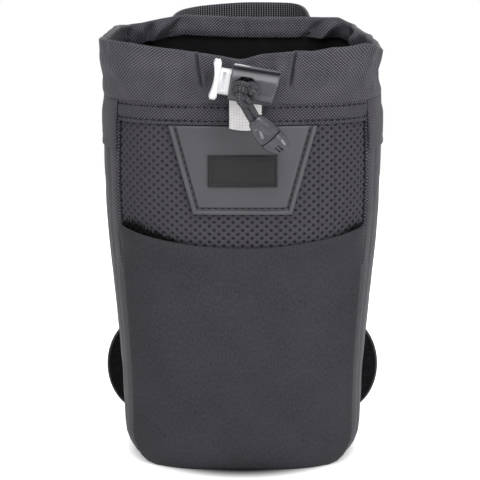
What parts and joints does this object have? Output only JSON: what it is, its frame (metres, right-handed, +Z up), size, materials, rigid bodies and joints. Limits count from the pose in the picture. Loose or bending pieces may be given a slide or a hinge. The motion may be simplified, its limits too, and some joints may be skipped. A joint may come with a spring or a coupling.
{
  "type": "lens pouch",
  "caption": "Padded belt pouch for one camera lens: tapered body with rounded floor, stretch front pocket, drawcord collar with cord lock, webbing handle and belt flap.",
  "frame": {"origin": "middle of the floor panel, on the plane that the pouch stands on", "axes": "+Z up towards the mouth, +Y towards the wearer (back and belt flap), +X to the right as the front is seen"},
  "size_m": [0.139, 0.1742, 0.2122],
  "materials": {
    "ballistic_cloth": "twill-woven nylon with a faint sheen",
    "pocket_cloth": "smooth heathered stretch cloth, matt",
    "air_mesh": "knitted spacer mesh with staggered holes",
    "foam": "closed-cell foam, hidden",
    "lining_cloth": "smooth tricot lining",
    "patch_rubber": "moulded, satin, with a raised rim",
    "badge_cloth": "fine woven label with a stitched edge, bare",
    "black_plastic": "moulded, semi-gloss",
    "white_plastic": "moulded, semi-gloss",
    "tab_webbing": "ribbed grosgrain tape",
    "black_webbing": "ribbed webbing and binding tape",
    "cord_sheath": "braided cord",
    "spring_steel": "drawn wire, hidden in the lock",
    "stiff_sheet": "polyethylene sheet, hidden",
    "hook_cloth": "hook and loop tape"
  },
  "bodies": {
    "pouch": {"front_mesh_panel": "air_mesh", "front_pocket": "pocket_cloth", "hem_band": "ballistic_cloth", "foam_front": "foam", "lining_front": "lining_cloth", "side_panel_left": "ballistic_cloth", "foam_left": "foam", "lining_left": "lining_cloth", "side_yoke_left": "ballistic_cloth", "side_panel_right": "ballistic_cloth", "foam_right": "foam", "lining_right": "lining_cloth", "side_yoke_right": "ballistic_cloth", "back_panel": "ballistic_cloth", "back_stiffener": "stiff_sheet", "foam_back": "foam", "lining_back": "lining_cloth", "back_band": "ballistic_cloth", "base_panel": "ballistic_cloth", "foam_base": "foam", "lining_base": "lining_cloth", "rubber_patch": "patch_rubber", "label_badge": "badge_cloth", "collar": "ballistic_cloth", "cord_lock_barrel": "black_plastic", "cord_lock_spring": "spring_steel", "draw_cord": "cord_sheath", "cord_knot": "cord_sheath", "lock_anchor_tab": "tab_webbing", "handle_anchor_left": "black_webbing", "handle_anchor_right": "black_webbing", "loop_patch": "hook_cloth", "flap_mount_strip": "black_webbing"},
    "lock_plunger": {"cord_lock_plunger": "white_plastic"},
    "cord_end": {"cord_tail_left": "cord_sheath", "cord_tail_right": "cord_sheath", "cord_end_shell": "black_plastic", "cord_end_cap": "black_plastic"},
    "handle": {"carry_handle": "black_webbing"},
    "belt_flap": {"flap_inner_face": "black_webbing", "flap_stiffener": "stiff_sheet", "flap_outer_face": "ballistic_cloth", "flap_binding": "black_webbing", "hook_patch": "hook_cloth"}
  },
  "joints": [
    {"name": "plunger_press", "type": "slide", "parent": "pouch", "child": "lock_plunger", "axis": [0.9877, 0, -0.1564], "range_m": [0, 0.004], "stiffness_N_per_m": 1500, "springref_m": -0.002, "deforming": ["cord_lock_spring"]},
    {"name": "cord_end_swing", "type": "hinge", "parent": "pouch", "child": "cord_end", "pos_m": [0.0013, -0.0821, 0.1867], "axis": [0, 1, 0], "range_deg": [-35, 110]},
    {"name": "handle_lift", "type": "hinge", "parent": "pouch", "child": "handle", "pos_m": [0, 0.0573, 0.2033], "axis": [1, 0, 0], "range_deg": [0, 70]},
    {"name": "belt_flap_open", "type": "hinge", "parent": "pouch", "child": "belt_flap", "pos_m": [0, 0.059, 0.1664], "axis": [1, 0, 0], "range_deg": [0, 90]}
  ]
}
